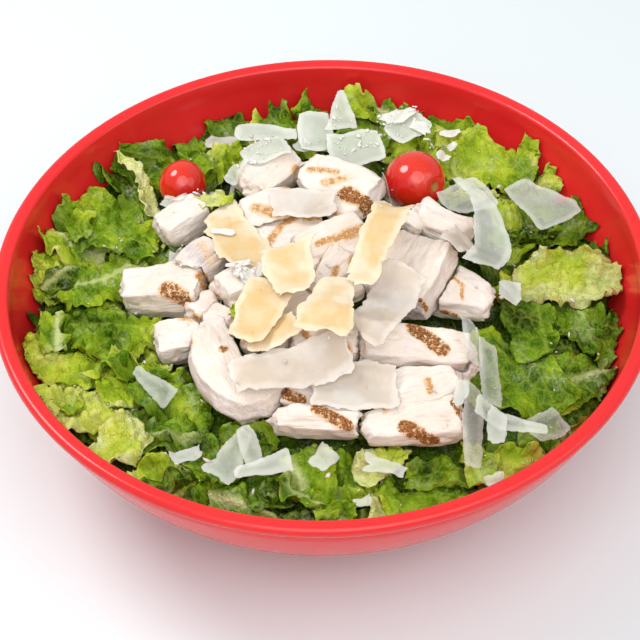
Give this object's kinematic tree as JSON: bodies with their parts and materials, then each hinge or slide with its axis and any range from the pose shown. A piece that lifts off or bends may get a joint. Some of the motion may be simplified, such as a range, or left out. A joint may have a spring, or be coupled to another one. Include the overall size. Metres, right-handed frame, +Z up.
{
  "type": "chicken caesar salad",
  "caption": "Round red melamine bowl with a heap of dressed romaine leaves, chunks of grilled chicken breast, shavings of hard cheese and whole cherry tomatoes.",
  "frame": {"origin": "on the resting plane, under the middle of the bowl's foot", "axes": "+Z up through the middle of the bowl, +X to the diner's right, and the diner sits at -Y"},
  "size_m": [0.26, 0.26, 0.1],
  "materials": {
    "bowl": "glossy melamine",
    "romaine": "wet leaf with dressing",
    "chicken": "moist cooked meat with grill marks",
    "cheese_aged": "hard cheese, golden",
    "cheese_pale": "thin hard cheese, pale and translucent",
    "tomato": "smooth glossy skin"
  },
  "bodies": {
    "root": {"bowl": "bowl", "romaine": "romaine", "chicken_left_back": "chicken", "chicken_left_low": "chicken", "chicken_back_slab": "chicken", "chicken_front_slice": "chicken", "chicken_front_right": "chicken", "chicken_front_fan": "chicken", "chicken_right_low": "chicken", "chicken_right_edge": "chicken", "chicken_right_tender": "chicken", "chicken_nugget_a": "chicken", "chicken_nugget_b": "chicken", "chicken_left_inner": "chicken", "chicken_left_block": "chicken", "chicken_back_left": "chicken", "chicken_back_heart": "chicken", "chicken_heart": "chicken", "chicken_middle": "chicken", "chicken_front_low": "chicken", "chicken_front_inner": "chicken", "chicken_crescent": "chicken", "chicken_right_inner": "chicken", "chicken_back_top": "chicken", "chicken_front_top": "chicken", "chicken_crown": "chicken", "chicken_crown_slice": "chicken", "cheese_01": "cheese_pale", "cheese_02": "cheese_pale", "cheese_03": "cheese_pale", "cheese_04": "cheese_pale", "cheese_05": "cheese_pale", "cheese_06": "cheese_pale", "cheese_07": "cheese_pale", "cheese_08": "cheese_pale", "cheese_09": "cheese_pale", "cheese_10": "cheese_pale", "cheese_11": "cheese_pale", "cheese_12": "cheese_pale", "cheese_13": "cheese_pale", "cheese_14": "cheese_aged", "cheese_15": "cheese_pale", "cheese_16": "cheese_pale", "cheese_17": "cheese_pale", "cheese_18": "cheese_pale", "cheese_19": "cheese_pale", "cheese_20": "cheese_pale", "cheese_21": "cheese_pale", "cheese_22": "cheese_pale", "cheese_23": "cheese_aged", "cheese_24": "cheese_pale", "cheese_25": "cheese_pale", "cheese_26": "cheese_aged", "cheese_27": "cheese_pale", "cheese_28": "cheese_aged", "cheese_29": "cheese_aged", "cheese_30": "cheese_aged", "cheese_31": "cheese_aged", "tomato_left": "tomato", "tomato_right": "tomato"}
  },
  "joints": []
}
